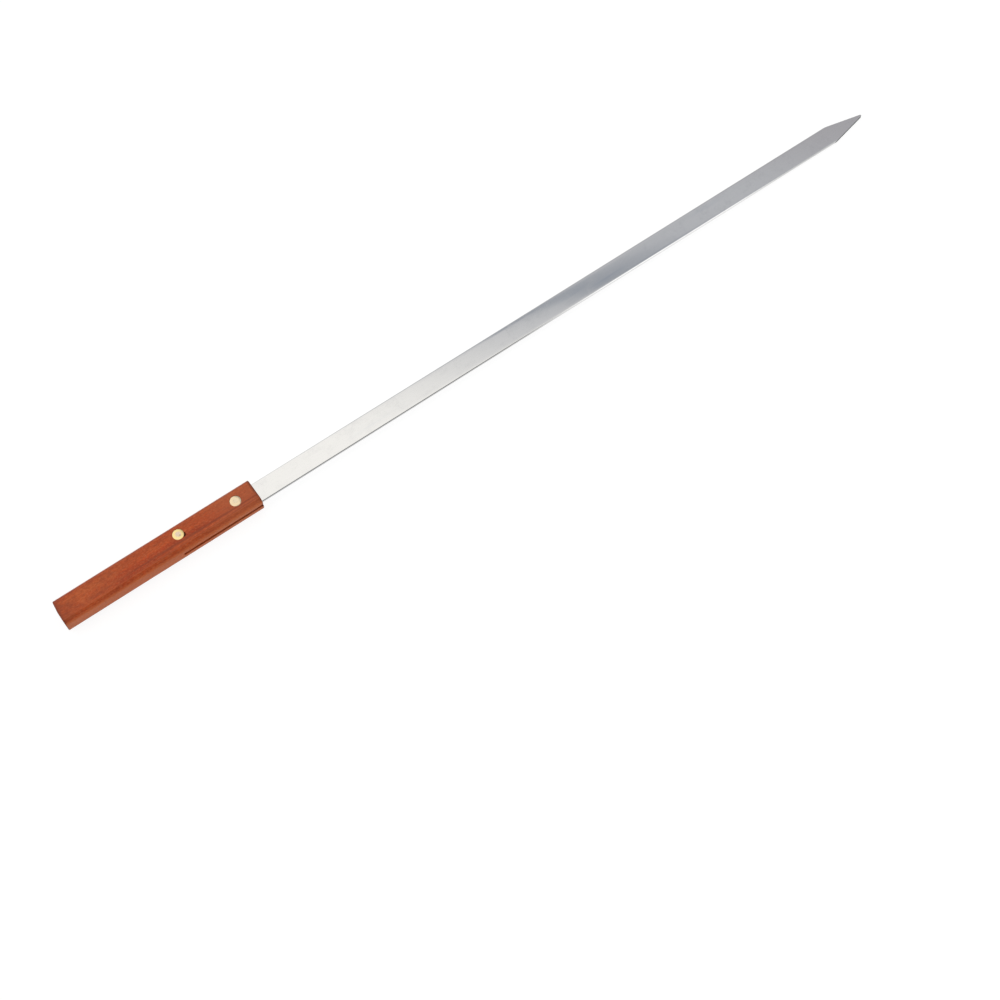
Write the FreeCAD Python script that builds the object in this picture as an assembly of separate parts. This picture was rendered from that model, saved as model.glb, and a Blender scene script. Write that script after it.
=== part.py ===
import FreeCAD, Part
import math
import os

# A long flat kebab skewer: a steel strip with a spear point, held in the sawn kerf of a wooden grip
# by two brass rivets, each in two halves pressed into one another.
# Millimetres. X runs from the grip's butt to the point, Z is up, and the strip lies flat.
# The origin is at the middle of the length and width, level with the grip's flat underside.

# Handle: one block of wood, rounded along its length
handle_length = 131.0
handle_width = 17.0
handle_height = 13.4
handle_edge_radius = 4.0
handle_sanding = 0.37            # taken off each broad face after the rounding, which leaves a crisp arris
handle_end_radius = 0.5

# Blade: one strip from the kerf to the point
blade_reach = 469.0              # from the handle's end to the point
blade_width = 13.5
blade_thickness = 2.0
blade_edge_share = 0.4           # the radius of the strip's rolled long edges, as a share of its thickness
point_length = 27.8              # sheared to shape, so its sides are square to the flat
tip_radius = 0.6

# Kerf: the saw cut that takes the blade's plain end, open at the handle's end and on both sides
kerf_depth = 54.0
kerf_play = 0.2                  # the kerf is this much higher than the blade is thick
tang_end_gap = 0.3               # from the blade's plain end to the bottom of the kerf

# Rivets: places in the handle. The holes are drilled by eye, a little off the middle line
front_rivet_from_end = 13.0
front_rivet_off_line = 0.2
rear_rivet_from_kerf_bottom = 3.0
rear_rivet_off_line = 1.5

# Rivets: the two halves, whose heads sit in counterbores
head_diameter = 6.9
head_rim_height = 1.2
head_crown = 0.2                 # how far the head's middle stands above its rim
head_recess = 0.05               # from the wood's face down to the head's middle
head_play = 0.05                 # around the head, in its counterbore
barrel_diameter = 3.5
barrel_play = 0.1                # around the barrel, in the wood and in the blade
barrel_shortfall = 0.8           # what the barrel leaves free above the opposite head
pin_diameter = 2.2
pin_play = 0.02                  # around the pin, in the barrel: a press fit on the real rivet
pin_shortfall = 0.6              # what the pin leaves free at the blind end of the barrel
pin_lead = 0.35                  # the chamfer that starts the pin

# Worked out from the sizes above
overall_length = handle_length + blade_reach
butt_x = -overall_length / 2
handle_end_x = butt_x + handle_length
tip_x = handle_end_x + blade_reach
shoulder_x = tip_x - point_length
kerf_bottom_x = handle_end_x - kerf_depth
tang_end_x = kerf_bottom_x + tang_end_gap
blade_middle_z = handle_height / 2
front_rivet_x = handle_end_x - front_rivet_from_end
rear_rivet_x = kerf_bottom_x + rear_rivet_from_kerf_bottom
counterbore_depth = head_recess + head_crown + head_rim_height
overrun = handle_width           # how far a cutting tool reaches past the face that it leaves

up = FreeCAD.Vector(0, 0, 1)
rivet_places = {
    "front_rivet": FreeCAD.Vector(front_rivet_x, front_rivet_off_line, 0),
    "rear_rivet": FreeCAD.Vector(rear_rivet_x, rear_rivet_off_line, 0),
}


def rod(place, low_z, high_z, diameter):
    """A round bar on a rivet's axis, between two heights."""
    foot = FreeCAD.Vector(place.x, place.y, low_z)
    return Part.makeCylinder(diameter / 2, high_z - low_z, foot, up)


def make_handle():
    """The grip: a rounded and sanded block, with the kerf sawn in one end and two counterbored holes."""
    corner = FreeCAD.Vector(butt_x, -handle_width / 2, -handle_sanding)
    block = Part.makeBox(handle_length, handle_width, handle_height + 2 * handle_sanding, corner)
    long_edges = [e for e in block.Edges if abs(e.tangentAt(e.FirstParameter).x) > 0.5]
    block = block.makeFillet(handle_edge_radius, long_edges)
    slab_corner = FreeCAD.Vector(butt_x - overrun, -handle_width, 0)
    block = block.common(Part.makeBox(handle_length + 2 * overrun, 2 * handle_width, handle_height, slab_corner))
    end_faces = [f for f in block.Faces if f.BoundBox.XLength < handle_end_radius]
    end_edges = [e for f in end_faces for e in f.Edges]
    block = block.makeFillet(handle_end_radius, end_edges)

    kerf_height = blade_thickness + kerf_play
    kerf_corner = FreeCAD.Vector(kerf_bottom_x, -handle_width, blade_middle_z - kerf_height / 2)
    kerf = Part.makeBox(kerf_depth + overrun, 2 * handle_width, kerf_height, kerf_corner)
    cutters = [kerf]
    for place in rivet_places.values():
        cutters.append(rod(place, -overrun, handle_height + overrun, barrel_diameter + 2 * barrel_play))
        counterbore = head_diameter + 2 * head_play
        cutters.append(rod(place, -overrun, counterbore_depth, counterbore))
        cutters.append(rod(place, handle_height - counterbore_depth, handle_height + overrun, counterbore))
    for cutter in cutters:
        block = block.cut(cutter)
    return block


def point_wedge():
    """What the shears leave: a wedge through both shoulders, as long as the strip, with a rounded tip."""
    half = blade_width / 2
    tip_centre_x = tip_x - tip_radius
    run = tip_centre_x - shoulder_x
    side_angle = math.atan2(half, run) - math.asin(tip_radius / math.hypot(run, half))
    tip_start = (tip_centre_x + tip_radius * math.sin(side_angle), tip_radius * math.cos(side_angle))
    base_half = half + (shoulder_x - tang_end_x) * math.tan(side_angle)

    def point(x, y):
        return FreeCAD.Vector(x, y, 0)

    edges = [
        Part.makeLine(point(tang_end_x, -base_half), point(tip_start[0], -tip_start[1])),
        Part.Arc(point(tip_start[0], -tip_start[1]), point(tip_x, 0), point(*tip_start)).toShape(),
        Part.makeLine(point(*tip_start), point(tang_end_x, base_half)),
        Part.makeLine(point(tang_end_x, base_half), point(tang_end_x, -base_half)),
    ]
    return Part.Face(Part.Wire(edges)).extrude(up * handle_height)


def make_blade():
    """The flat strip: a bar with rolled long edges, sheared to a point, and a hole for each rivet."""
    corner = FreeCAD.Vector(tang_end_x, -blade_width / 2, blade_middle_z - blade_thickness / 2)
    strip = Part.makeBox(tip_x + overrun - tang_end_x, blade_width, blade_thickness, corner)
    long_edges = [e for e in strip.Edges if abs(e.tangentAt(e.FirstParameter).x) > 0.5]
    strip = strip.makeFillet(blade_thickness * blade_edge_share, long_edges).common(point_wedge())
    for place in rivet_places.values():
        strip = strip.cut(rod(place, -overrun, handle_height + overrun, barrel_diameter + 2 * barrel_play))
    return strip


def make_head(place, seat_z, side):
    """A rivet's crowned head, from its flat seat towards the wood's face: side is 1 for up, -1 for down."""
    head_radius = head_diameter / 2
    sphere_radius = (head_radius ** 2 + head_crown ** 2) / (2 * head_crown)
    bulge_radius = head_radius / 2
    rim_drop = sphere_radius - math.sqrt(sphere_radius ** 2 - bulge_radius ** 2)
    crown_top = head_rim_height + head_crown

    def point(radius, height):
        return FreeCAD.Vector(place.x + radius, place.y, seat_z + side * height)

    crown = Part.Arc(point(head_radius, head_rim_height), point(bulge_radius, crown_top - rim_drop),
                     point(0, crown_top)).toShape()
    edges = [
        Part.makeLine(point(0, 0), point(head_radius, 0)),
        Part.makeLine(point(head_radius, 0), point(head_radius, head_rim_height)),
        crown,
        Part.makeLine(point(0, crown_top), point(0, 0)),
    ]
    return Part.Face(Part.Wire(edges)).revolve(place, up, 360)


def make_cap(place):
    """The upper half of a rivet: a head on a hollow barrel."""
    seat_z = handle_height - counterbore_depth
    foot_z = counterbore_depth + barrel_shortfall
    barrel = rod(place, foot_z, seat_z, barrel_diameter)
    bore = rod(place, foot_z, seat_z, pin_diameter + 2 * pin_play)
    return make_head(place, seat_z, 1).fuse(barrel.cut(bore)).removeSplitter()


def make_post(place):
    """The lower half of a rivet: a head on a solid pin with a chamfered end."""
    seat_z = counterbore_depth
    top_z = handle_height - counterbore_depth - pin_shortfall
    pin = rod(place, seat_z, top_z, pin_diameter)
    top_edges = [e for e in pin.Edges if e.BoundBox.ZMin > (seat_z + top_z) / 2]
    pin = pin.makeChamfer(pin_lead, top_edges)
    return make_head(place, seat_z, -1).fuse(pin).removeSplitter()


nodes = {"handle": make_handle(), "blade": make_blade()}
for rivet, place in rivet_places.items():
    nodes[rivet + "_cap"] = make_cap(place)
    nodes[rivet + "_post"] = make_post(place)

os.makedirs("parts", exist_ok=True)
for name, shape in nodes.items():
    shape.exportStep("parts/" + name + ".step")
    box = shape.BoundBox
    print(name, "solids", len(shape.Solids), "valid", shape.isValid(), "volume", round(shape.Volume, 2),
          "box", [round(v, 3) for v in (box.XMin, box.YMin, box.ZMin, box.XMax, box.YMax, box.ZMax)])
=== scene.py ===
# Kebab skewer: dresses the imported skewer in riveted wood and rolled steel, on a white studio table.
import math

import bmesh
import bpy
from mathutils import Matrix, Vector, noise


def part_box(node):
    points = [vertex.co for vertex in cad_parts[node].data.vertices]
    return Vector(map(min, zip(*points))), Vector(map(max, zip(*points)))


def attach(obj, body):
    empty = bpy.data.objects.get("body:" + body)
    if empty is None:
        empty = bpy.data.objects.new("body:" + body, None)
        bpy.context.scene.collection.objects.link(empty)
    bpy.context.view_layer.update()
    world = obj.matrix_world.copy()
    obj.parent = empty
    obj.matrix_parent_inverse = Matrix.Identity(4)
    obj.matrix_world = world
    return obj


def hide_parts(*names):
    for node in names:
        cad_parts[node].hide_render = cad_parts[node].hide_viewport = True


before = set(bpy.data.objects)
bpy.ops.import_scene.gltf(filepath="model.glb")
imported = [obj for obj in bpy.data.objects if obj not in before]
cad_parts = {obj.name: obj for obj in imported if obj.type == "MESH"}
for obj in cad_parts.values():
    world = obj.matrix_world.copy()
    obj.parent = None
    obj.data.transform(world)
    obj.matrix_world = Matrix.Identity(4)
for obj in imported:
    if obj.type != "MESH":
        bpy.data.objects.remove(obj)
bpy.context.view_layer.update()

rivetNames = ("front_rivet", "rear_rivet")


# Small helpers, for shader trees and for geometry trees

opened = {}                                 # holds the tree that the helpers add to


def openTree(tree):
    opened["tree"] = tree
    return tree


def link(result, socket):
    opened["tree"].links.new(result, socket)


# inputs are the sockets' values by name or number, settings are the node's own options
def addNode(kind, inputs=None, settings=None):
    node = opened["tree"].nodes.new(kind)
    for name, value in (settings or {}).items():
        setattr(node, name, value)
    for name, value in (inputs or {}).items():
        if isinstance(value, bpy.types.NodeSocket):
            link(value, node.inputs[name])
        else:
            node.inputs[name].default_value = value
    return node


# the first output of a new node
def resultOf(kind, inputs=None, settings=None):
    return addNode(kind, inputs, settings).outputs[0]


def geo(kind, inputs=None, settings=None):
    return resultOf("GeometryNode" + kind, inputs, settings)


def maths(operation, a, b=0.0, c=0.0, clamp=False):
    return resultOf("ShaderNodeMath", {0: a, 1: b, 2: c}, {"operation": operation, "use_clamp": clamp})


def plus(a, b):
    return maths("ADD", a, b)


def minus(a, b):
    return maths("SUBTRACT", a, b)


def times(a, b):
    return maths("MULTIPLY", a, b)


def over(a, b, clamp=False):
    return maths("DIVIDE", a, b, clamp=clamp)


# a times b, plus c
def timesPlus(a, b, c):
    return maths("MULTIPLY_ADD", a, b, c)


def joinXYZ(x=0.0, y=0.0, z=0.0):
    return resultOf("ShaderNodeCombineXYZ", {0: x, 1: y, 2: z})


def splitXYZ(vector):
    return addNode("ShaderNodeSeparateXYZ", {0: vector}).outputs


def lengthOf(vector):
    return addNode("ShaderNodeVectorMath", {0: vector}, {"operation": "LENGTH"}).outputs["Value"]


# rises smoothly while the value goes from low to high
def ramp(value, low, high, toLow=0.0, toHigh=1.0):
    inputs = {"Value": value, "From Min": low, "From Max": high, "To Min": toLow, "To Max": toHigh}
    return resultOf("ShaderNodeMapRange", inputs, {"interpolation_type": "SMOOTHSTEP"})


# the places of a span that is measured from a start
def spanFrom(start, span):
    return [start + reach for reach in span]


# noise around 0.5; with a seed it is one of many
def cloud(place, scale, detail, extra=None, seed=None):
    inputs = {"Vector": place, "Scale": scale, "Detail": detail, **(extra or {})}
    if seed is None:
        return resultOf("ShaderNodeTexNoise", inputs)
    return resultOf("ShaderNodeTexNoise", {**inputs, "W": seed}, {"noise_dimensions": "4D"})


def mixColour(factor, a, b, blend="MIX"):
    settings = {"data_type": "RGBA", "blend_type": blend}
    return addNode("ShaderNodeMix", {0: factor, 6: a, 7: b}, settings).outputs[2]


# a node group whose sockets are given by type; returns its inputs
def startGroup(name, kind, inputs, outputs):
    tree = openTree(bpy.data.node_groups.new(name, kind))
    for side, sockets in (("INPUT", inputs), ("OUTPUT", outputs)):
        for socketType, labels in sockets.items():
            for label in labels:
                tree.interface.new_socket(label, in_out=side, socket_type="NodeSocket" + socketType)
    return addNode("NodeGroupInput").outputs


def endGroup(*results):
    output = addNode("NodeGroupOutput")
    for socket, result in zip(output.inputs, results):
        link(result, socket)
    return opened["tree"]


# ends a geometry tree: plain geometry, with its material set
def endPiece(geometry, finish):
    real = geo("RealizeInstances", {0: geometry})
    return endGroup(geo("SetMaterial", {"Geometry": real, "Material": finish}))


# 1 for the curve's point with this number, 0 for the others
def atPoint(number):
    counted = {2: geo("InputIndex"), 3: number}
    return resultOf("FunctionNodeCompare", counted, {"data_type": "INT", "operation": "EQUAL"})


def linkPiece(name, data, material=None):
    piece = bpy.data.objects.new(name, data)
    bpy.context.scene.collection.objects.link(piece)
    if material:
        data.materials.clear()
        data.materials.append(material)
    return piece


# bakes the modifiers into a plain mesh, smooth up to the crease angle in degrees
def settle(piece, creaseAngle=30):
    depsgraph = bpy.context.evaluated_depsgraph_get()
    mesh = bpy.data.meshes.new_from_object(piece.evaluated_get(depsgraph), depsgraph=depsgraph)
    piece.modifiers.clear()
    piece.data = mesh
    mesh.shade_smooth()
    mesh.set_sharp_from_angle(angle=math.radians(creaseAngle))
    return piece


# runs a geometry tree on an empty piece, with its inputs given by name
def grow(name, tree, values):
    piece = linkPiece(name, bpy.data.meshes.new(name))
    modifier = piece.modifiers.new("grow", "NODES")
    modifier.node_group = tree
    keys = {item.name: item.identifier for item in tree.interface.items_tree if item.in_out == "INPUT"}
    for label, value in values.items():
        modifier[keys[label]] = value
    return settle(piece)


def handIn(piece, node):
    piece.data.name = piece.name
    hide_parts(node)
    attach(piece, "root")
    print(piece.name, "faces", len(piece.data.polygons))


# where a rivet's axis meets the table's level
def rivetPlace(name):
    low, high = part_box(name + "_cap")
    return Vector(((low.x + high.x) / 2, (low.y + high.y) / 2, 0))


# puts up a camera or a lamp that looks along a direction
def hangUp(name, data, place, direction):
    piece = linkPiece(name, data)
    piece.location = place
    piece.rotation_mode = "QUATERNION"
    piece.rotation_quaternion = direction.to_track_quat("-Z", "Y")
    return piece


# Camera: where the photographer stood, looking down on the table

camera = {
    "azimuth": -35.76,                      # degrees, 0 looks along +Y
    "elevation": 65.43,                     # degrees above the table
    "distance": 0.947,                      # metres from the point looked at
    "lookAt": (-0.0533, -0.0844, 0.0002),
    "lens": 57.73, "sensor": 36.0,
    "clip": (0.01, 50.0),
}


def placeCamera():
    turn, lift = math.radians(camera["azimuth"]), math.radians(camera["elevation"])
    back = Vector((math.sin(turn) * math.cos(lift), -math.cos(turn) * math.cos(lift), math.sin(lift)))
    data = bpy.data.cameras.new("photographer")
    data.lens, data.sensor_width = camera["lens"], camera["sensor"]
    data.clip_start, data.clip_end = camera["clip"]
    place = Vector(camera["lookAt"]) + back * camera["distance"]
    bpy.context.scene.camera = hangUp("photographer", data, place, -back)


placeCamera()


# Studio: a soft ceiling, brighter over the handle, and a white table

studio = {
    "bright": (1.335, 1.315, 1.265, 1.0),   # the softbox over the handle
    "plain": (0.655, 0.668, 0.700, 1.0),    # the rest of the ceiling
    "far": (0.540, 0.532, 0.560, 1.0),      # and its far end, over the point
    "band": (0.45, 0.48, 0.53, 1.0),        # the softbox's shaded rim
    "front": (0.34, 0.34, 0.34, 1.0),       # the room behind the photographer
    "white": (1.55, 1.55, 1.55, 1.0),       # a white screen on its right
    "side": (0.80, 0.80, 0.80, 1.0),        # and the wall beyond that
    "low": (0.85, 0.85, 0.85, 1.0),         # the backdrop near the horizon
    "backdrop": (1.0, 1.0, 1.0, 1.0),       # what the camera itself sees
    # places on the ceiling, in heights of the ceiling
    "ramp": (0.19, 0.43), "farFall": (0.55, 0.68),
    "bandRise": (0.388, 0.413), "bandFall": (0.430, 0.505),
    "overBlade": 0.473,                     # where the blade's flat mirrors the ceiling
    "bladeSpan": 0.055,                     # and how far past it the slants go on
    "rampSlant": 0.20, "bandSlant": 0.25, "bandBend": 0.75,
    # parts of a direction, of length 1
    "lowest": 0.03,                         # the ceiling ends this close to the horizon
    "whiteRise": (0.297, 0.365), "whiteFall": (0.445, 0.48),
    "frontRise": (0.0, -0.10), "backRise": (-0.1, 0.2), "horizonRise": (0.45, 0.15),
}


# the ceiling: the softbox fades out slantwise, with a shaded rim
def lightCeiling(x, y, z):
    height = maths("MAXIMUM", z, studio["lowest"])
    across, back = over(x, height), over(y, height)
    off = maths("MINIMUM", minus(back, studio["overBlade"]), studio["bladeSpan"])
    ramped = timesPlus(off, studio["rampSlant"], across)
    fall = ramp(ramped, *studio["ramp"])
    ceiling = mixColour(fall, studio["bright"], studio["plain"])
    farFall = ramp(across, *studio["farFall"])
    ceiling = mixColour(farFall, ceiling, studio["far"])
    bent = timesPlus(maths("MAXIMUM", off, 0.0), studio["bandBend"], across)
    slanted = timesPlus(off, studio["bandSlant"], bent)
    onBand = times(ramp(slanted, *studio["bandRise"]), ramp(slanted, *studio["bandFall"], 1.0, 0.0))
    return mixColour(onBand, ceiling, studio["band"])


def lightStudio():
    world = bpy.data.worlds.new("studio")
    bpy.context.scene.world = world
    world.use_nodes = True
    openTree(world.node_tree).nodes.clear()
    x, y, z = splitXYZ(addNode("ShaderNodeTexCoord").outputs["Generated"])
    ceiling = lightCeiling(x, y, z)
    front = mixColour(ramp(x, *studio["whiteRise"]), studio["front"], studio["white"])
    front = mixColour(ramp(x, *studio["whiteFall"]), front, studio["side"])
    room = mixColour(ramp(y, *studio["frontRise"]), ceiling, front)
    low = times(ramp(z, *studio["horizonRise"]), ramp(y, *studio["backRise"]))
    room = mixColour(low, room, studio["low"])
    seen = addNode("ShaderNodeLightPath").outputs["Is Camera Ray"]
    colour = mixColour(seen, room, studio["backdrop"])
    shader = resultOf("ShaderNodeBackground", {"Color": colour, "Strength": 1.0})
    addNode("ShaderNodeOutputWorld", {"Surface": shader})


# Fill: a broad lamp in front, low down, for the handle's near side

fill = {"place": (-0.30, -1.30, 0.45), "aim": (-0.2, 0.0, 0.0), "size": 0.9, "power": 5.0}


def hangFill():
    data = bpy.data.lights.new("frontFill", "AREA")
    data.shape, data.size, data.energy = "SQUARE", fill["size"], fill["power"]
    direction = Vector(fill["aim"]) - Vector(fill["place"])
    lamp = hangUp("frontFill", data, fill["place"], direction)
    lamp.visible_glossy = False


# Table: it looks white, and it lights the skewer less than it looks

tabletop = {
    "half": 4.0,                            # half its width
    "tilt": 0.67,                           # degrees: the skewer rests on its handle's edge and its point
    "plain": (0.75, 0.75, 0.75, 1.0),       # what lights the skewer
    "shaded": (0.18, 0.18, 0.18, 1.0),      # what the camera and reflections see: a faint shadow
    "glow": 0.88,                           # over this even white
}


def finishTable():
    material = bpy.data.materials.new("tableWhite")
    material.use_nodes = True
    openTree(material.node_tree).nodes.clear()
    rays = addNode("ShaderNodeLightPath").outputs
    mirrored = maths("MAXIMUM", rays["Is Glossy Ray"], rays["Is Transmission Ray"])
    seen = maths("MAXIMUM", rays["Is Camera Ray"], mirrored)
    plain = resultOf("ShaderNodeBsdfDiffuse", {"Color": tabletop["plain"]})
    shaded = resultOf("ShaderNodeBsdfDiffuse", {"Color": tabletop["shaded"]})
    glow = resultOf("ShaderNodeEmission", {"Strength": tabletop["glow"]})
    shown = resultOf("ShaderNodeAddShader", {0: shaded, 1: glow})
    mix = resultOf("ShaderNodeMixShader", {0: seen, 1: plain, 2: shown})
    below = addNode("ShaderNodeNewGeometry").outputs["Backfacing"]
    seenBelow = times(below, rays["Is Camera Ray"])
    clear = resultOf("ShaderNodeBsdfTransparent")
    sided = resultOf("ShaderNodeMixShader", {0: seenBelow, 1: mix, 2: clear})
    addNode("ShaderNodeOutputMaterial", {"Surface": sided})
    return material


def layTable():
    half = tabletop["half"]
    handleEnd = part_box("handle")[1].x
    tilt = math.radians(tabletop["tilt"])
    corners = [(-half, -half), (half, -half), (half, half), (-half, half)]
    points = [(x, y, (x - handleEnd) * math.tan(tilt)) for x, y in corners]
    mesh = bpy.data.meshes.new("table")
    mesh.from_pydata(points, [], [(0, 1, 2, 3)])
    table = linkPiece("table", mesh, finishTable())


lightStudio()
hangFill()
layTable()
print("studio lit and table laid")


# Effects that several finishes share, each a node group placed with its own values

effects = {
    "swayScale": 14.0, "swayDetail": 1.0,
    "streakDetail": 3.0, "fibreDetail": 2.0, "grainRange": (0.3, 0.7), "grain": {"Roughness": 0.55},
    "wearDetail": 3.0, "wearRange": (0.40, 0.62), "wear": {"Roughness": 0.6},
    "marksDetail": 3.0, "patchRange": (0.42, 0.68), "mottleRange": (0.25, 0.75), "marks": {"Distortion": 0.4},
}


def useGroup(group, place, values):
    return addNode("ShaderNodeGroup", {"Vector": place, **values}, {"node_tree": group}).outputs


# streaks and finer fibres that run along X, a little wavy
def grainGroup():
    sizes = ("Stretch", "Streak Size", "Fibre Size", "Waviness", "Seed")
    given = startGroup("lengthGrain", "ShaderNodeTree", {"Vector": ["Vector"], "Float": sizes},
                       {"Float": ["Streaks", "Fibres"]})
    x, y, z = splitXYZ(given["Vector"])
    sway = cloud(joinXYZ(x), effects["swayScale"], effects["swayDetail"], seed=given["Seed"])
    shift = times(minus(sway, 0.5), given["Waviness"])
    drawn = joinXYZ(over(x, given["Stretch"]), plus(y, shift), plus(z, shift))
    layers = []
    for layer in ("streak", "fibre"):
        scale = over(1.0, given[layer.capitalize() + " Size"])
        threads = cloud(drawn, scale, effects[layer + "Detail"], effects["grain"], given["Seed"])
        layers.append(ramp(threads, *effects["grainRange"]))
    return endGroup(*layers)


# a mask that is 1 on an edge and fades out, unevenly, over its width
def wearGroup():
    sizes = ("Distance", "Width", "Patch Size", "Patchiness")
    given = startGroup("edgeWear", "ShaderNodeTree", {"Vector": ["Vector"], "Float": sizes},
                       {"Float": ["Wear"]})
    scale = over(1.0, given["Patch Size"])
    patches = cloud(given["Vector"], scale, effects["wearDetail"], effects["wear"])
    loss = times(ramp(patches, *effects["wearRange"]), given["Patchiness"])
    near = ramp(given["Distance"], 0.0, given["Width"], 1.0, 0.0)
    return endGroup(times(near, minus(1.0, loss)))


# soft patches of handling and dust, with finer mottling inside them
def marksGroup():
    sizes = ("Patch Size", "Mottle Size")
    given = startGroup("handlingMarks", "ShaderNodeTree", {"Vector": ["Vector"], "Float": sizes},
                       {"Float": ["Marks"]})
    layers = []
    for layer in ("patch", "mottle"):
        scale = over(1.0, given[layer.capitalize() + " Size"])
        spots = cloud(given["Vector"], scale, effects["marksDetail"], effects["marks"])
        layers.append(ramp(spots, *effects[layer + "Range"]))
    return endGroup(times(*layers))


lengthGrain, edgeWear, handlingMarks = grainGroup(), wearGroup(), marksGroup()


# a Principled material, with the values that are even all over set on its own sockets
def startFinish(name, settings):
    material = bpy.data.materials.new(name)
    material.use_nodes = True
    shader = openTree(material.node_tree).nodes["Principled BSDF"]
    for socket, value in settings.items():
        shader.inputs[socket].default_value = value
    texture = addNode("ShaderNodeTexCoord").outputs
    return material, shader, texture["Object"], texture["Normal"]


def endFinish(shader, colour, roughness, normal):
    for socket, value in (("Base Color", colour), ("Roughness", roughness), ("Normal", normal)):
        link(value, shader.inputs[socket])


# a place, moved and stretched
def shifted(place, by=(0.0, 0.0, 0.0), scale=(1.0, 1.0, 1.0)):
    return resultOf("ShaderNodeMapping", {"Vector": place, "Location": by, "Scale": scale})


# a colour made darker or lighter by a grey factor
def scaled(colour, factor):
    return mixColour(1.0, colour, joinXYZ(factor, factor, factor), "MULTIPLY")


# covers a colour with another one where a mask is 1, up to a strength
def cover(colour, mask, strength, by):
    return mixColour(times(mask, strength), colour, by)


def bumped(height, distance, extra=None):
    return resultOf("ShaderNodeBump", {"Height": height, "Distance": distance, **(extra or {})})


# Handle: a sanded block with worn arrises, kerf, counterbores and a bite beside the rear one

handle = {
    "cornerRadius": 0.0040,
    "sanding": 0.00037,                     # how far each broad face was taken down, which leaves an arris
    "arrisRadius": 0.0008,                  # the arris, worn this round
    "arrisAt": 0.00618,                     # its place, from the middle line
    "endRadius": 0.0005,
    "askew": 0.0008, "askewReach": 0.0060,  # the butt is sawn this much out of square
    "ringGap": 0.0008,                      # from one ring of points to the next
    "sideSteps": 3, "cornerSteps": 9, "arrisSteps": 3, "faceSteps": 8, "endSteps": 5,
    "wander": 0.00005, "wanderNoise": (25, 90),     # how far the sander wandered
    "wearDepth": 0.00012, "wearNoise": (210, 40),   # how deep the arris is worn in places
    "wearHeight": 0.0006, "wearSpan": 0.0012,       # how far from the arris
    "wearFrom": 0.15, "wearGain": 2.2,
    "kerfPlay": 0.0001,                     # above and below the blade
    "kerfGap": 0.0003,                      # past the blade's plain end
    "borePlay": 0.00005, "boreDepth": 0.00145, "boreSteps": 64,
    "shankPlay": 0.0001, "shankRadius": 0.00175, "shankSteps": 32,
    "lip": 0.00012, "headLip": 0.00005,     # the cut edges, broken this much
    "overrun": 0.003,
    "crease": 32,                           # degrees
    "sliver": 0.000001,                     # edges shorter than this are dissolved after the cuts
    "biteOff": 0.0029, "biteTurn": -36,     # from the rear rivet's axis, and which way
    "biteRadius": 0.0018, "biteSteps": 40,
    # the bite: height over the face, share of its radius
    "biteLevels": ((-0.0011, 0.55), (-0.0001, 0.95), (0.001, 1.15)),
    "biteRough": 0.22, "biteNoise": (3, 900),
    "seed": 4.7,
}


# the middle of the bite that a slip of the drill took out of the rear counterbore's edge
def bitePlace():
    turn = math.radians(handle["biteTurn"])
    return rivetPlace("rear_rivet") + Vector((math.cos(turn), math.sin(turn), 0)) * handle["biteOff"]


# Wood: oiled reddish hardwood, sanded, with long streaks, open pores and flecks

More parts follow.
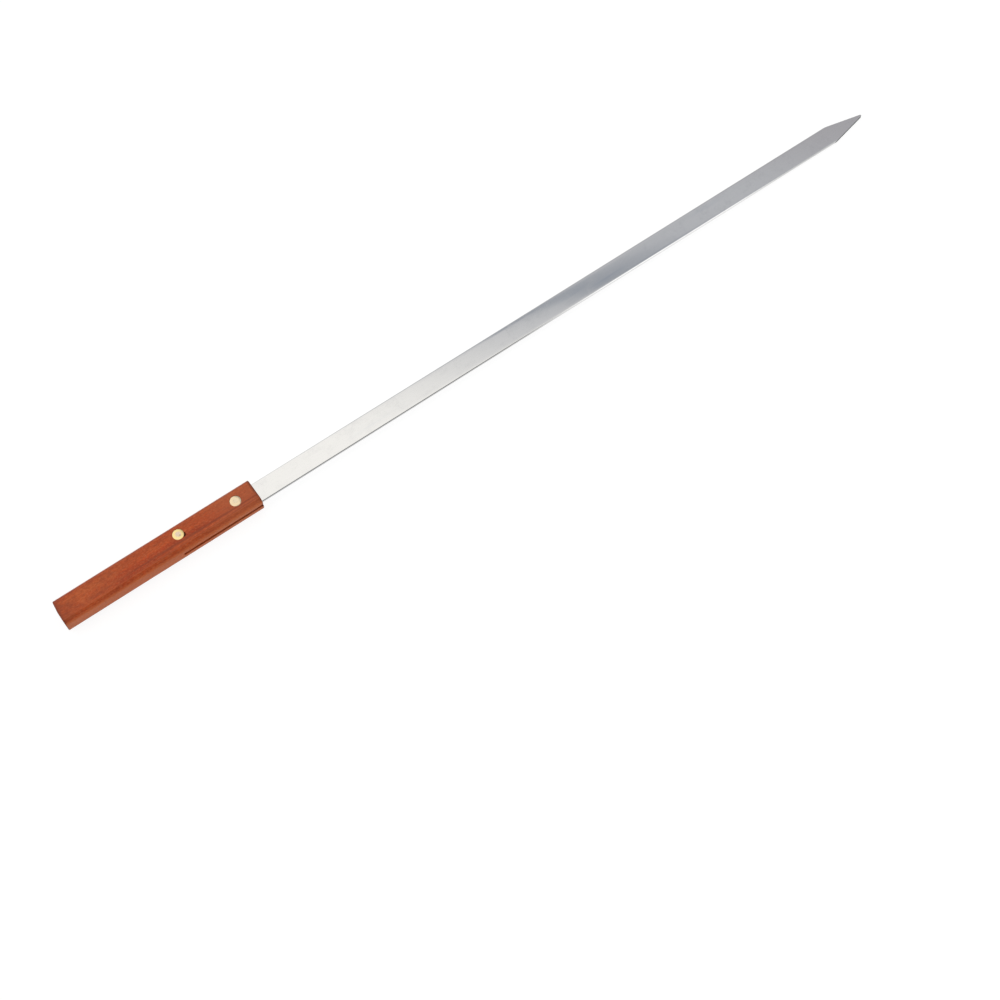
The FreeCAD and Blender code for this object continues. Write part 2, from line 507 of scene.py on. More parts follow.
wood = {
    # tones; where one comes with a number, that is how strongly it covers
    "light": (0.462, 0.060, 0.008, 1.0), "dark": (0.334, 0.034, 0.004, 1.0),
    "orange": (0.65, (0.455, 0.089, 0.018, 1.0)), "brown": (0.225, 0.040, 0.014, 1.0),
    "pore": (0.55, (0.170, 0.022, 0.006, 1.0)), "fleck": (0.55, (0.560, 0.130, 0.034, 1.0)),
    # edge: the arris rubbed paler, partly wear and partly a painted highlight; side: a painted pinkish
    # reflection of the table on the upright sides
    "edge": (0.7, (0.480, 0.105, 0.034, 1.0)), "side": (0.65, (0.430, 0.108, 0.022, 1.0)),
    # the near-black tone inside the drill's bite is a painted shadow
    "endGrain": (0.88, (0.110, 0.022, 0.009, 1.0)), "biteShadow": (0.8, (0.075, 0.018, 0.009, 1.0)),
    "speck": (0.60, 0.190, 0.075, 1.0), "pale": (0.430, 0.120, 0.046, 1.0),
    "grain": {"Stretch": 26.0, "Streak Size": 0.0021, "Fibre Size": 0.00042, "Waviness": 0.0012, "Seed": 3.1},
    "figure": {"Stretch": 12.0, "Streak Size": 0.0065, "Fibre Size": 0.0012, "Waviness": 0.003, "Seed": 8.4},
    "fibreShade": (0.16, 0.92),
    "mottle": {"stretch": (0.5, 1.0, 1.0), "scale": 950.0, "detail": 3.0, "range": (0.32, 0.68)},
    "mottleRough": {"Roughness": 0.65}, "mottleShade": 0.14,
    "specks": {"stretch": (0.45, 1.0, 1.0), "scale": 1500.0, "detail": 2.0, "range": (0.44, 0.76)},
    "speckCover": 0.36,
    "frontSpan": (0.088, 0.118), "frontCover": 0.45,                # the front end is paler
    "streaks": ((-0.0032, 0.0011, 0.75), (-0.0052, 0.0007, 0.50)),  # place, half width and strength
    "streakDrift": 0.0008, "streakSpan": (0.030, 0.075), "streakFaint": 0.4,
    "soaked": {"Width": 0.0023, "Patch Size": 0.0024, "Patchiness": 0.45},
    "poreStretch": (0.20, 1.0, 1.0), "poreScale": 1900.0, "poreSize": (0.16, 0.10), "poreCore": 0.5,
    "porePick": (0.35, 0.60),
    "buttSpan": (0.075, 0.010), "buttFaint": 0.25,                  # flecks and stains gather near the butt
    "flecks": {"Patch Size": 0.009, "Mottle Size": 0.0016},
    "stains": {"Patch Size": 0.011, "Mottle Size": 0.004}, "stainCover": 0.6,
    "stainPlace": (0.31, 0.02, 0.0), "stainStretch": (0.6, 1.0, 1.0),
    "arrisWearAndHighlight": {"Width": 0.0005, "Patch Size": 0.006, "Patchiness": 0.6},
    # painted shade on the rounded corners, chosen by how they face
    "cornerRise": (0.08, 0.35), "cornerFall": (1.0, 0.72), "cornerShade": 0.16,
    # where the sides take their painted reflection of the white table
    "sideReflectionRise": (0.80, 1.0),
    # how far the bite's painted shadow reaches, across and down
    "biteShadowReach": 1.25, "biteShadowDepth": (-0.00003, -0.00025),
    "even": {"Specular IOR Level": 0.24, "IOR": 1.5},
    "roughness": 0.40, "fibreRoughness": 0.10, "poreRoughness": 0.2,
    "fibreHeight": 0.35, "relief": 0.00003, "reliefStrength": {"Strength": 0.5},
}


# streaks and figure, with short, uneven mottling of lighter and darker wood, and pale specks
def woodGround(place, grain):
    figure = useGroup(lengthGrain, place, wood["figure"])
    colour = mixColour(grain["Streaks"], wood["dark"], wood["light"])
    colour = cover(colour, figure["Streaks"], *wood["orange"])
    colour = scaled(colour, timesPlus(grain["Fibres"], *wood["fibreShade"]))
    mottle, specks, shade = wood["mottle"], wood["specks"], wood["mottleShade"]
    stretched = shifted(place, scale=mottle["stretch"])
    spots = cloud(stretched, mottle["scale"], mottle["detail"], wood["mottleRough"])
    colour = scaled(colour, ramp(spots, *mottle["range"], 1.0 - shade, 1.0 + shade))
    stretched = shifted(place, scale=specks["stretch"])
    spots = cloud(stretched, specks["scale"], specks["detail"])
    speckled = ramp(spots, *specks["range"], 0.0, wood["speckCover"])
    return mixColour(speckled, colour, wood["speck"])


# a paler front end, darker streaks beside the middle, and stain soaked in at both ends
def stainWood(colour, place, grain):
    low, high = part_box("handle")
    x, y, z = splitXYZ(place)
    toFront = ramp(x, *spanFrom(low.x, wood["frontSpan"]), 0.0, wood["frontCover"])
    colour = mixColour(toFront, colour, wood["pale"])
    drift = timesPlus(grain["Streaks"], wood["streakDrift"], y)
    faint = ramp(x, *spanFrom(low.x, wood["streakSpan"]), wood["streakFaint"], 1.0)
    for streakAt, half, strength in wood["streaks"]:
        offStreak = maths("ABSOLUTE", minus(drift, streakAt))
        streak = ramp(offStreak, 0.0, half, strength, 0.0)
        colour = cover(colour, streak, faint, wood["brown"])
    offEnds = maths("MINIMUM", minus(x, low.x), minus(high.x, x))
    soaked = useGroup(edgeWear, place, {"Distance": offEnds, **wood["soaked"]})["Wear"]
    return cover(colour, soaked, *wood["endGrain"])


# short dark dashes along the grain, as a mask
def woodPores(place):
    stretched = shifted(place, scale=wood["poreStretch"])
    cells = addNode("ShaderNodeTexVoronoi", {"Vector": stretched, "Scale": wood["poreScale"]})
    pick = addNode("ShaderNodeSeparateColor", {0: cells.outputs["Color"]}).outputs
    size = timesPlus(pick[1], *wood["poreSize"])
    core = times(size, wood["poreCore"])
    openPore = ramp(cells.outputs["Distance"], core, size, 1.0, 0.0)
    return times(openPore, ramp(pick[0], *wood["porePick"]))


# pale flecks and brown stains, most of them near the butt
def fleckWood(colour, place):
    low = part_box("handle")[0]
    x = splitXYZ(place)[0]
    nearButt = ramp(x, *spanFrom(low.x, wood["buttSpan"]), wood["buttFaint"], 1.0)
    marks = useGroup(handlingMarks, place, wood["flecks"])["Marks"]
    colour = cover(colour, times(marks, nearButt), *wood["fleck"])
    elsewhere = shifted(place, wood["stainPlace"], wood["stainStretch"])
    marks = useGroup(handlingMarks, elsewhere, wood["stains"])["Marks"]
    return cover(colour, times(marks, nearButt), wood["stainCover"], wood["brown"])


# arris paler, partly wear, partly painted highlight; painted shade on rounded corners; painted reflection on
# sides
def wearWood(colour, place, normal):
    low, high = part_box("handle")
    x, y, z = splitXYZ(place)
    offArris = maths("ABSOLUTE", minus(maths("ABSOLUTE", y), handle["arrisAt"]))
    offMiddle = maths("ABSOLUTE", minus(z, (high.z + low.z) / 2))
    offFace = minus((high.z - low.z) / 2, offMiddle)
    distance = plus(offArris, offFace)
    # the arris line: rubbed paler, and partly a painted highlight
    worn = useGroup(edgeWear, place, {"Distance": distance, **wood["arrisWearAndHighlight"]})["Wear"]
    colour = cover(colour, worn, *wood["edge"])
    # painted shade: the rounded corners are made darker by how they face
    sideways = maths("ABSOLUTE", splitXYZ(normal)[1])
    onCorner = times(ramp(sideways, *wood["cornerRise"]), ramp(sideways, *wood["cornerFall"]))
    colour = scaled(colour, timesPlus(onCorner, -wood["cornerShade"], 1.0))
    # painted reflection: the upright sides are covered with a pinker tone, as the white table's reflection
    # would give them
    sideReflection = ramp(sideways, *wood["sideReflectionRise"])
    return cover(colour, sideReflection, *wood["side"])


# painted shadow: near-black wood inside the drill's bite
def shadeBite(colour, place):
    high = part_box("handle")[1]
    x, y, z = splitXYZ(place)
    bite, radius = bitePlace(), handle["biteRadius"]
    reach = lengthOf(joinXYZ(minus(x, bite.x), minus(y, bite.y)))
    biteShadow = times(ramp(reach, radius * wood["biteShadowReach"], radius),
                 ramp(z, *spanFrom(high.z, wood["biteShadowDepth"])))
    return cover(colour, biteShadow, *wood["biteShadow"])


def finishWood():
    material, shader, place, normal = startFinish("oiledWood", wood["even"])
    grain = useGroup(lengthGrain, place, wood["grain"])
    pores = woodPores(place)
    colour = woodGround(place, grain)
    colour = stainWood(colour, place, grain)
    colour = cover(colour, pores, *wood["pore"])
    colour = fleckWood(colour, place)
    colour = wearWood(colour, place, normal)
    colour = shadeBite(colour, place)
    sheen = timesPlus(grain["Fibres"], wood["fibreRoughness"], wood["roughness"])
    sheen = plus(sheen, times(pores, wood["poreRoughness"]))
    height = minus(times(grain["Fibres"], wood["fibreHeight"]), pores)
    relief = bumped(height, wood["relief"], wood["reliefStrength"])
    endFinish(shader, colour, sheen, relief)
    return material


# Steel: rolled strip with lengthwise grain; the point's sheared sides are rough, and near-black, which is
# partly painted shade

steel = {
    # tones, as in the wood
    "bright": (0.668, 0.666, 0.664, 1.0), "shade": (0.28, (0.620, 0.618, 0.618, 1.0)),
    "mark": (0.22, (0.50, 0.50, 0.51, 1.0)), "smudge": (0.47, 0.51, 0.57, 1.0),
    # sheared: the point's sheared sides, near-black; partly dull steel, partly painted shade
    "sheared": (0.9, (0.045, 0.045, 0.047, 1.0)), "edge": (0.5, (0.72, 0.72, 0.72, 1.0)),
    "grain": {"Stretch": 60.0, "Streak Size": 0.0016, "Fibre Size": 0.00022, "Waviness": 0.0001, "Seed": 1.7},
    "marks": {"Patch Size": 0.009, "Mottle Size": 0.0022},
    # fingers left these: place along and across, half length, half width, strength
    "smudges": ((0.0880, -0.0024, 0.020, 0.0026, 0.40), (0.0640, 0.0012, 0.016, 0.0024, 0.30),
                (0.1720, 0.0030, 0.024, 0.0030, 0.20), (-0.0900, -0.0015, 0.030, 0.0034, 0.16)),
    "edgeWear": {"Width": 0.0009, "Patch Size": 0.005, "Patchiness": 0.5},
    "pointing": (0.06, 0.14), "upright": (0.6, 0.3),   # how the sheared sides face
    "even": {"Metallic": 1.0},
    "roughness": 0.065, "markRoughness": 0.05, "shearedRoughness": 0.42,
    "relief": 0.00000025,
    "dragStretch": (1.0, 1.0, 0.08), "dragScale": 5200.0, "dragDetail": 2.0, "dragRelief": 0.00001,
}


def smudgeSteel(colour, x, y, streaks):
    for smudgeX, smudgeY, halfLength, halfWidth, strength in steel["smudges"]:
        along = over(minus(x, smudgeX), halfLength)
        across = over(minus(y, smudgeY), halfWidth)
        reach = lengthOf(joinXYZ(along, across))
        smudge = ramp(reach, 0.0, 1.0, strength, 0.0)
        colour = cover(colour, smudge, streaks, steel["smudge"])
    return colour


def finishSteel():
    material, shader, place, normal = startFinish("rolledSteel", steel["even"])
    low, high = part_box("blade")
    x, y, z = splitXYZ(place)
    grain = useGroup(lengthGrain, place, steel["grain"])
    marks = useGroup(handlingMarks, place, steel["marks"])["Marks"]
    colour = cover(steel["bright"], grain["Fibres"], *steel["shade"])
    colour = cover(colour, marks, *steel["mark"])
    colour = smudgeSteel(colour, x, y, grain["Streaks"])
    offEdge = minus((high.y - low.y) / 2, maths("ABSOLUTE", y))
    worn = useGroup(edgeWear, place, {"Distance": offEdge, **steel["edgeWear"]})["Wear"]
    colour = cover(colour, worn, *steel["edge"])

    # the point's sheared sides, found by how they face, are painted near-black: partly dull steel, partly
    # painted shade
    facing = splitXYZ(normal)
    sheared = times(ramp(facing[0], *steel["pointing"]),
                    ramp(maths("ABSOLUTE", facing[2]), *steel["upright"]))
    colour = cover(colour, sheared, *steel["sheared"])
    dull = timesPlus(marks, steel["markRoughness"], steel["roughness"])
    dull = plus(dull, times(sheared, steel["shearedRoughness"]))
    relief = bumped(grain["Fibres"], steel["relief"])
    drag = cloud(shifted(place, scale=steel["dragStretch"]), steel["dragScale"], steel["dragDetail"])
    relief = bumped(times(drag, sheared), steel["dragRelief"], {"Normal": relief})
    endFinish(shader, colour, dull, relief)
    return material


# Brass: rivet heads whose pale tones are partly brass, partly painted highlight; the rear one greyer in the
# middle inside a yellow ring, a painted reflection

brass = {
    # each head's centre, ring and rim tones are partly the brass's own and partly painted reflection and
    # highlight
    "front_rivet": {"centre": (0.655, 0.555, 0.400, 1.0), "ring": (0.705, 0.570, 0.385, 1.0),
                    "rim": (0.760, 0.570, 0.370, 1.0), "ringAt": 0.0016,
                    "spot": (-0.0006, 0.0009, 0.0), "punchShadeCover": 0.15},
    "rear_rivet": {"centre": (0.615, 0.495, 0.380, 1.0), "ring": (0.775, 0.622, 0.290, 1.0),
                   "rim": (0.790, 0.560, 0.260, 1.0), "ringAt": 0.0018,
                   "spot": (0.0006, -0.0012, 0.0), "punchShadeCover": 0.75},
    "punchShade": (0.380, 0.300, 0.210, 1.0), "punchShadeSize": 0.0011,  # painted shade of the dent that the setting punch left
    "marks": {"Patch Size": 0.0022, "Mottle Size": 0.0005},
    "ringWaver": 0.0006, "ringSpan": (-0.0006, 0.0006),         # the ring's edge is uneven and soft
    "rimWear": {"Width": 0.0006, "Patch Size": 0.0012, "Patchiness": 0.3},
    "grain": {"Stretch": 9.0, "Streak Size": 0.0006, "Fibre Size": 0.00010, "Waviness": 0.0, "Seed": 5.2},
    "grainShade": (0.95, 1.03),
    "even": {"Metallic": 1.0},
    "roughness": 0.22, "markRoughness": 0.12, "relief": 0.000001,
}


def finishBrass(name):
    material, shader, place, normal = startFinish(name.split("_")[0] + "Brass", brass["even"])
    tones = brass[name]
    low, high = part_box(name + "_cap")
    middle = shifted(place, -rivetPlace(name))
    x, y, z = splitXYZ(middle)
    level = joinXYZ(x, y)
    fromAxis = lengthOf(level)
    marks = useGroup(handlingMarks, middle, brass["marks"])["Marks"]
    wavy = timesPlus(marks, brass["ringWaver"], fromAxis)
    # painted reflection: a greyer centre inside a yellower ring
    onRing = ramp(wavy, *spanFrom(tones["ringAt"], brass["ringSpan"]))
    colour = mixColour(onRing, tones["centre"], tones["ring"])
    # the rim: a little wear and a painted highlight
    offRim = minus((high.x - low.x) / 2, fromAxis)
    worn = useGroup(edgeWear, middle, {"Distance": offRim, **brass["rimWear"]})["Wear"]
    colour = mixColour(worn, colour, tones["rim"])
    # painted shade: a greyer spot standing in for the shade in the setting punch's dent
    fromPunchShade = lengthOf(shifted(level, -Vector(tones["spot"])))
    punchShade = ramp(fromPunchShade, 0.0, brass["punchShadeSize"], tones["punchShadeCover"], 0.0)
    colour = mixColour(punchShade, colour, brass["punchShade"])
    grain = useGroup(lengthGrain, middle, brass["grain"])
    colour = scaled(colour, ramp(grain["Fibres"], 0.0, 1.0, *brass["grainShade"]))
    dull = timesPlus(marks, brass["markRoughness"], brass["roughness"])
    endFinish(shader, colour, dull, bumped(grain["Fibres"], brass["relief"]))
    return material


woodFinish, steelFinish = finishWood(), finishSteel()
brassFinishes = {name: finishBrass(name) for name in rivetNames}
print("finishes mixed")


# Handle: the block is built ring by ring, then cut

# a closed mesh through rings of equally many points
def ringMesh(name, rings):
    body = bmesh.new()
    loops = [[body.verts.new(point) for point in ring] for ring in rings]
    count = len(rings[0])
    for low, high in zip(loops, loops[1:]):
        for i in range(count):
            j = (i + 1) % count
            body.faces.new((low[i], low[j], high[j], high[i]))
    body.faces.new(loops[0])
    body.faces.new(loops[-1])
    bmesh.ops.recalc_face_normals(body, faces=body.faces)
    mesh = bpy.data.meshes.new(name)
    body.to_mesh(mesh)
    body.free()
    return mesh


# a quarter of the section, from the middle of the side to the middle of the broad face
def handleQuarter(halfWidth, halfHeight, inset):
    radius = handle["cornerRadius"] - inset
    worn = handle["arrisRadius"]
    centreY = halfWidth - handle["cornerRadius"]
    centreZ = halfHeight + handle["sanding"] - handle["cornerRadius"]
    top = halfHeight - inset
    wornZ = top - worn
    wornY = centreY + math.sqrt((radius - worn) ** 2 - (wornZ - centreZ) ** 2)
    meet = math.atan2(wornZ - centreZ, wornY - centreY)
    steps = handle["sideSteps"]
    points = [(halfWidth - inset, centreZ * i / steps) for i in range(steps)]
    steps = handle["cornerSteps"]
    for i in range(steps):
        angle = meet * i / steps
        points.append((centreY + radius * math.cos(angle), centreZ + radius * math.sin(angle)))
    steps = handle["arrisSteps"]
    for i in range(steps):
        angle = meet + (math.pi / 2 - meet) * i / steps
        points.append((wornY + worn * math.cos(angle), wornZ + worn * math.sin(angle)))
    steps = handle["faceSteps"]
    points += [(wornY * (1 - i / steps), top) for i in range(steps + 1)]
    return points


def handleSection(halfWidth, halfHeight, inset):
    quarter = handleQuarter(halfWidth, halfHeight, inset)
    upper = quarter + [(-y, z) for y, z in reversed(quarter[:-1])]
    return upper + [(y, -z) for y, z in reversed(upper[1:-1])]


# how far the surface lies inside the true section: the sander's wander, and wear on the arrises
def wornIn(x, y, z, halfHeight):
    seed = handle["seed"]
    along, across = handle["wanderNoise"]
    wander = 0.5 + 0.5 * noise.noise(Vector((x * along + seed, y * across, z * across)))
    nearFace = max(0.0, 1 - abs(abs(z) - halfHeight) / handle["wearHeight"])
    nearArris = nearFace * max(0.0, 1 - abs(abs(y) - handle["arrisAt"]) / handle["wearSpan"])
    along, across = handle["wearNoise"]
    dents = max(0.0, noise.noise(Vector((x * along, seed + y * across, z * across))) - handle["wearFrom"])
    return handle["wander"] * max(0.0, wander) + handle["wearDepth"] * nearArris * dents * handle["wearGain"]


# places along the handle, and how far the section is drawn in there: only over the rounded ends
def handleStations(length):
    endRadius, endSteps = handle["endRadius"], handle["endSteps"]
    rounded = []
    for i in range(endSteps):
        angle = math.pi / 2 * i / endSteps
        rounded.append((endRadius * (1 - math.cos(angle)), endRadius * (1 - math.sin(angle))))
    count = round((length - 2 * endRadius) / handle["ringGap"])
    inner = [(endRadius + (length - 2 * endRadius) * i / count, 0.0) for i in range(count + 1)]
    return rounded + inner + [(length - at, inset) for at, inset in reversed(rounded)]


def makeHandleBlock():
    low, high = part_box("handle")
    halfWidth, halfHeight = (high.y - low.y) / 2, (high.z - low.z) / 2
    middle = Vector((0, 0, (high.z + low.z) / 2))
    rings = []
    for at, inset in handleStations(high.x - low.x):
        x = low.x + at
        section = handleSection(halfWidth, halfHeight, inset)
        ring = []
        for i, (y, z) in enumerate(section):
            ahead, behind = section[(i + 1) % len(section)], section[i - 1]
            outward = Vector((0, ahead[1] - behind[1], behind[0] - ahead[0])).normalized()
            square = max(0.0, 1 - at / handle["askewReach"]) * max(0.0, y / halfWidth)
            point = Vector((x + handle["askew"] * square, y, z)) - outward * wornIn(x, y, z, halfHeight)
            ring.append(point + middle)
        rings.append(ring)
    return linkPiece("handleBlock", ringMesh("handleBlock", rings), woodFinish)


# a turned cutter: the outline gives radius and height, from one end to the other
def lathe(name, place, outline, steps):
    turns = [math.tau * i / steps for i in range(steps)]
    rings = [[(place.x + radius * math.cos(a), place.y + radius * math.sin(a), z) for a in turns]
             for radius, z in outline]
    return linkPiece(name, ringMesh(name, rings))


# the saw cut, with its long lips a little broken
def kerfCutter():
    low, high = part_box("handle")
    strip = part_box("blade")
    middle = (low.z + high.z) / 2
    halfGap = (strip[1].z - strip[0].z) / 2 + handle["kerfPlay"]
    overrun, lip = handle["overrun"], handle["lip"]
    quarter = [(high.y - lip, halfGap), (high.y + overrun, halfGap + lip + overrun)]
    upper = [(-y, z) for y, z in reversed(quarter)] + quarter
    outline = upper + [(y, -z) for y, z in reversed(upper)]
    rings = [[(x, y, middle + z) for y, z in outline]
             for x in (strip[0].x - handle["kerfGap"], high.x + overrun)]
    return linkPiece("kerfCutter", ringMesh("kerfCutter", rings))


# the bite, wider towards the face and ragged all round
def biteCutter(faceZ):
    centre, steps = bitePlace(), handle["biteSteps"]
    round_, upward = handle["biteNoise"]
    rings = []
    for rise, share in handle["biteLevels"]:
        z = faceZ + rise
        ring = []
        for i in range(steps):
            angle = math.tau * i / steps
            way = Vector((math.cos(angle), math.sin(angle), 0))
            ragged = noise.noise(way * round_ + Vector((handle["seed"], 0, z * upward)))
            rough = 1 + handle["biteRough"] * ragged
            ring.append(centre + way * handle["biteRadius"] * share * rough + Vector((0, 0, z)))
        rings.append(ring)
    return linkPiece("biteCutter", ringMesh("biteCutter", rings))


# the cutters of one rivet's hole: the shank's, and a counterbore with a broken lip on each face
def holeCutters(name, low, high):
    place, head = rivetPlace(name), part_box(name + "_cap")
    shank = handle["shankRadius"] + handle["shankPlay"]
    bore = (head[1].x - head[0].x) / 2 + handle["borePlay"]
    depth, headLip, overrun = handle["boreDepth"], handle["headLip"], handle["overrun"]
    outline = [(shank, low.z - overrun), (shank, high.z + overrun)]
    cutters = [lathe("shankCutter", place, outline, handle["shankSteps"])]
    for face, side in ((high.z, 1), (low.z, -1)):
        outline = [(bore, face - side * depth), (bore, face - side * headLip),
                   (bore + headLip + overrun, face + side * overrun)]
        cutters.append(lathe("headCutter", place, outline, handle["boreSteps"]))
    return cutters


# the cuts leave a few faces with hardly any area, which go
def dropSlivers(piece):
    body = bmesh.new()
    body.from_mesh(piece.data)
    bmesh.ops.dissolve_degenerate(body, dist=handle["sliver"], edges=body.edges)
    body.to_mesh(piece.data)
    body.free()


def carveHandle(block):
    low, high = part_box("handle")
    cutters = [kerfCutter()]
    for name in rivetNames:
        cutters += holeCutters(name, low, high)
    cutters.append(biteCutter(high.z))
    for cutter in cutters:
        cut = block.modifiers.new("cut", "BOOLEAN")
        cut.operation, cut.solver, cut.object = "DIFFERENCE", "EXACT", cutter
    settle(block, handle["crease"])
    for cutter in cutters:
        bpy.data.objects.remove(cutter)
    dropSlivers(block)
    return block


handIn(carveHandle(makeHandleBlock()), "handle")
print("handle cut")


# Blade: a rolled strip, a little crowned, sheared to a point

blade = {
    "edgeRadius": 0.0008, "edgeSteps": 10,
    "crown": 0.00005,                       # the strip's long edges lie this much lower than its middle
    "rollOff": 0.00002, "rollStart": 0.0044,    # a little more beside the rolled edges
    "stationGap": 0.004, "sectionPoints": 140,
    "pointLength": 0.0278, "tipRadius": 0.0006, "tipSteps": 10,
    "shearReach": 0.1,                      # how far the shears' wedge goes up and down
    "holeRadius": 0.00185, "holeSteps": 32, "drillDepth": 0.05,
}


# the rolled section, crowned by squeezing its height towards the edges
def rolledSection(given, halfWidth):
    bar = geo("CurvePrimitiveQuadrilateral", {"Width": given["Width"], "Height": given["Thickness"]})
    rolled = geo("FilletCurve",
                 {"Curve": bar, "Count": blade["edgeSteps"], "Radius": given["Edge Radius"]},
                 {"mode": "POLY"})
    section = geo("ResampleCurve", {"Curve": rolled, "Count": given["Section Points"]})
    x, y, z = splitXYZ(geo("InputPosition"))
    offMiddle = maths("ABSOLUTE", x)
    share = over(offMiddle, halfWidth)
    bow = times(times(share, share), given["Crown"])
    rollSpan = minus(minus(halfWidth, given["Edge Radius"]), given["Roll Start"])
    past = over(minus(offMiddle, given["Roll Start"]), rollSpan, clamp=True)
    roll = times(times(past, past), given["Roll Off"])
    drop = times(plus(bow, roll), 2.0)
    squeeze = minus(1.0, over(drop, given["Thickness"]))
    crowned = joinXYZ(x, times(y, squeeze))
    return geo("SetPosition", {"Geometry": section, "Position": crowned})


# the shears: a tall wedge whose sides meet in the rounded tip and pass through both shoulders
def shearWedge(given, halfWidth):
    start = given["Start"]
    run = minus(given["Point Length"], given["Tip Radius"])
    reach = maths("SQRT", plus(times(run, run), times(halfWidth, halfWidth)))
    sideAngle = minus(maths("ARCTAN2", halfWidth, run), maths("ARCSINE", over(given["Tip Radius"], reach)))
    slope = maths("TANGENT", sideAngle)
    shoulder = minus(given["End"], given["Point Length"])
    apex = plus(shoulder, over(halfWidth, slope))
    baseHalf = plus(halfWidth, times(minus(shoulder, start), slope))
    kite = geo("CurvePrimitiveQuadrilateral",
               {"Point 1": joinXYZ(start, times(baseHalf, -1.0)),
                "Point 2": joinXYZ(apex),
                "Point 3": joinXYZ(start, baseHalf),
                "Point 4": joinXYZ(minus(start, given["Width"]))},
               {"mode": "POINTS"})
    tipRound = times(atPoint(1), given["Tip Radius"])          # Point 2, counted from 0
    rounded = geo("FilletCurve",
                  {"Curve": kite, "Count": blade["tipSteps"], "Radius": tipRound}, {"mode": "POLY"})
    high = blade["shearReach"]
    rise = geo("CurvePrimitiveLine", {"Start": (0, 0, -high), "End": (0, 0, high)})
    return geo("CurveToMesh", {"Curve": rise, "Profile Curve": rounded, "Fill Caps": True})


def bladeTree():
    sockets = {
        "Float": ("Start", "End", "Height", "Width", "Thickness", "Edge Radius", "Crown", "Roll Off",
                  "Roll Start", "Point Length", "Tip Radius", "Hole Radius"),
        "Int": ("Stations", "Section Points"), "Vector": ("First Hole", "Second Hole"),
        "Material": ("Finish",),
    }
    given = startGroup("rolledStrip", "GeometryNodeTree", sockets, {"Geometry": ["Strip"]})
    halfWidth = times(given["Width"], 0.5)
    section = rolledSection(given, halfWidth)
    overshoot = plus(given["End"], given["Width"])
    line = geo("CurvePrimitiveLine",
               {"Start": joinXYZ(given["Start"], 0.0, given["Height"]),
                "End": joinXYZ(overshoot, 0.0, given["Height"])})
    spaced = geo("ResampleCurve", {"Curve": line, "Count": given["Stations"]})
    strip = geo("CurveToMesh", {"Curve": spaced, "Profile Curve": section, "Fill Caps": True})
    sheared = addNode("GeometryNodeMeshBoolean", settings={"operation": "INTERSECT", "solver": "EXACT"})
    for part in (strip, shearWedge(given, halfWidth)):
        link(part, sheared.inputs["Mesh 2"])

    drill = geo("MeshCylinder",
                {"Vertices": blade["holeSteps"], "Radius": given["Hole Radius"],
                 "Depth": blade["drillDepth"]})
    drilled = addNode("GeometryNodeMeshBoolean", {"Mesh 1": sheared.outputs[0]},
                      {"operation": "DIFFERENCE", "solver": "EXACT"})
    for hole in ("First Hole", "Second Hole"):
        moved = geo("Transform", {"Geometry": drill, "Translation": given[hole]})
        link(moved, drilled.inputs["Mesh 2"])
    return endPiece(drilled.outputs[0], given["Finish"])


def makeBlade():
    low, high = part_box("blade")
    middle = (low.z + high.z) / 2
    holes = [rivetPlace(name) + Vector((0, 0, middle)) for name in rivetNames]
    return grow("bladeStrip", bladeTree(), {
        "Start": low.x, "End": high.x, "Height": middle,
        "Width": high.y - low.y, "Thickness": high.z - low.z,
        "Edge Radius": blade["edgeRadius"],
        "Crown": blade["crown"], "Roll Off": blade["rollOff"], "Roll Start": blade["rollStart"],
        "Point Length": blade["pointLength"], "Tip Radius": blade["tipRadius"],
        "Stations": round((high.x - low.x) / blade["stationGap"]), "Section Points": blade["sectionPoints"],
        "First Hole": holes[0], "Second Hole": holes[1], "Hole Radius": blade["holeRadius"],
        "Finish": steelFinish,
    })


handIn(makeBlade(), "blade")
print("blade rolled")


# Rivets: four turned halves from one tree, two with a hollow barrel above, two with a pin below

rivet = {
    "rimHeight": 0.0012, "crown": 0.0002,
    "rimSoftness": 0.00010, "rimSteps": 4,  # the rim's rounding
    "barrelRadius": 0.00175, "boreRadius": 0.00112, "pinRadius": 0.0011,
    "barrelLead": 0.0001, "pinLead": 0.00035,
    "turnSteps": 72, "crownSteps": 6,
    "mergeGap": 0.000002,                   # points nearer than this are joined, as on the axis
    "hammering": 0.000012, "blowScale": 900.0, "blowDetail": 1.0,
    "front_rivet": {"Flat": 0.55, "Seed": 1.3},
    "rear_rivet": {"Flat": 0.25, "Seed": 7.9},
}


# the half outline, from the middle of the crown down to the shank's end: radius, depth
def rivetOutline(given):
    headRadius, crown = given["Head Radius"], given["Crown"]
    outline = []
    steps = rivet["crownSteps"]
    domed = minus(1.0, given["Flat"])
    for i in range(steps + 1):
        past = over(minus(i / steps, given["Flat"]), domed, clamp=True)
        outline.append((times(headRadius, i / steps), times(times(past, past), crown)))
    seat = plus(crown, given["Rim Height"])
    shank, foot, lead = given["Shank Radius"], given["Shank Length"], given["Lead"]
    boreFloor = minus(foot, given["Bore Depth"])
    return outline + [
        (headRadius, seat), (shank, seat), (shank, minus(foot, lead)),
        (minus(shank, lead), foot), (given["Bore Radius"], foot),
        (given["Bore Radius"], boreFloor), (0.0, boreFloor),
    ]


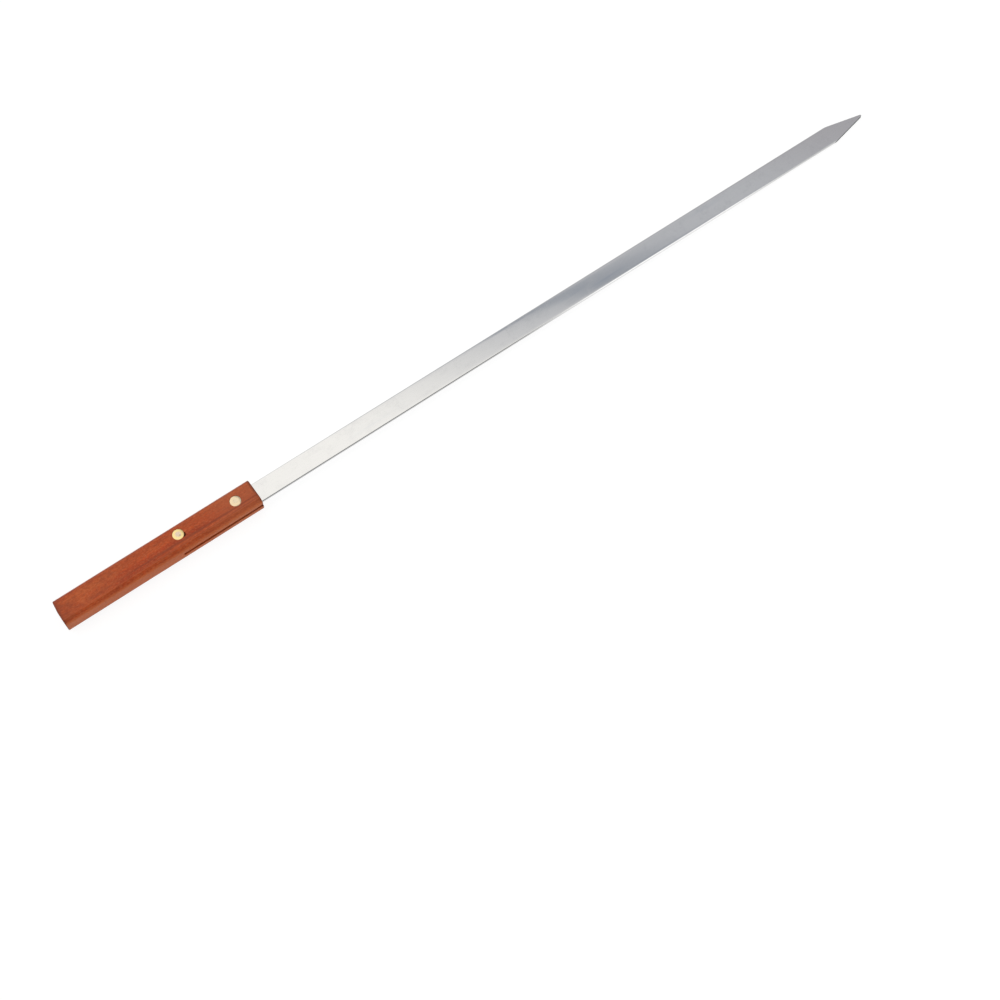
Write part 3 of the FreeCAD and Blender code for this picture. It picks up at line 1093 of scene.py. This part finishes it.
# the outline as a curve, measured from the rim, with the rim softened
def outlineCurve(given):
    outline = rivetOutline(given)
    chosen = addNode("GeometryNodeIndexSwitch", settings={"data_type": "VECTOR"})
    while len(chosen.index_switch_items) < len(outline):
        chosen.index_switch_items.new()
    link(geo("InputIndex"), chosen.inputs["Index"])
    for i, (radius, depth) in enumerate(outline):
        fromRim = minus(radius, given["Head Radius"])
        link(joinXYZ(fromRim, depth), chosen.inputs[i + 1])
    points = geo("MeshLine", {"Count": len(outline)})
    laid = geo("SetPosition", {"Geometry": points, "Position": chosen.outputs[0]})
    wire = geo("MeshToCurve", {"Mesh": laid})
    softness = times(atPoint(rivet["crownSteps"]), given["Rim Softness"])
    return geo("FilletCurve",
               {"Curve": wire, "Count": rivet["rimSteps"], "Radius": softness}, {"mode": "POLY"})


def rivetTree():
    sockets = {
        "Float": ("Head Radius", "Crown", "Flat", "Rim Height", "Rim Softness", "Shank Radius",
                  "Shank Length", "Lead", "Bore Radius", "Bore Depth", "Hammering", "Seed"),
        "Int": ("Turn Steps",), "Vector": ("Place",), "Rotation": ("Turn",), "Material": ("Finish",),
    }
    given = startGroup("turnedRivet", "GeometryNodeTree", sockets, {"Geometry": ["Rivet"]})
    profile = outlineCurve(given)

    # turned round the axis: the path is as wide as the head, and the outline lies inside it
    path = geo("CurvePrimitiveCircle", {"Resolution": given["Turn Steps"], "Radius": given["Head Radius"]})
    turned = geo("CurveToMesh", {"Curve": path, "Profile Curve": profile})
    closed = geo("MergeByDistance", {"Geometry": turned, "Distance": rivet["mergeGap"]})
    spot = geo("InputPosition")
    blows = cloud(spot, rivet["blowScale"], rivet["blowDetail"], seed=given["Seed"])
    dent = times(minus(blows, 1.0), given["Hammering"])
    struck = geo("SetPosition", {"Geometry": closed, "Offset": joinXYZ(0.0, 0.0, dent)})
    placed = geo("Transform", {"Geometry": struck, "Translation": given["Place"], "Rotation": given["Turn"]})
    return endPiece(placed, given["Finish"])


# what the barrel's half and the pin's half have of their own
def halfValues(half, low, high):
    if half == "cap":
        return {
            "Shank Radius": rivet["barrelRadius"], "Lead": rivet["barrelLead"],
            "Bore Radius": rivet["boreRadius"],
            "Bore Depth": high.z - low.z - rivet["rimHeight"] - rivet["crown"],
            "Place": Vector(((low.x + high.x) / 2, (low.y + high.y) / 2, high.z)),
            "Turn": (0.0, 0.0, 0.0),
        }
    return {
        "Shank Radius": rivet["pinRadius"], "Lead": rivet["pinLead"],
        "Place": Vector(((low.x + high.x) / 2, (low.y + high.y) / 2, low.z)),
        "Turn": (math.pi, 0.0, 0.0),
    }


def makeRivets():
    tree = rivetTree()
    for name in rivetNames:
        for half in ("cap", "post"):
            node = name + "_" + half
            low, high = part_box(node)
            piece = grow(name.split("_")[0] + "Rivet" + half.capitalize(), tree, {
                "Head Radius": (high.x - low.x) / 2, "Crown": rivet["crown"],
                "Rim Height": rivet["rimHeight"], "Rim Softness": rivet["rimSoftness"],
                "Shank Length": high.z - low.z,
                "Turn Steps": rivet["turnSteps"], "Hammering": rivet["hammering"],
                "Finish": brassFinishes[name], **rivet[name], **halfValues(half, low, high),
            })
            handIn(piece, node)


makeRivets()
print("rivets set")

bpy.context.scene.view_settings.view_transform = "Standard"
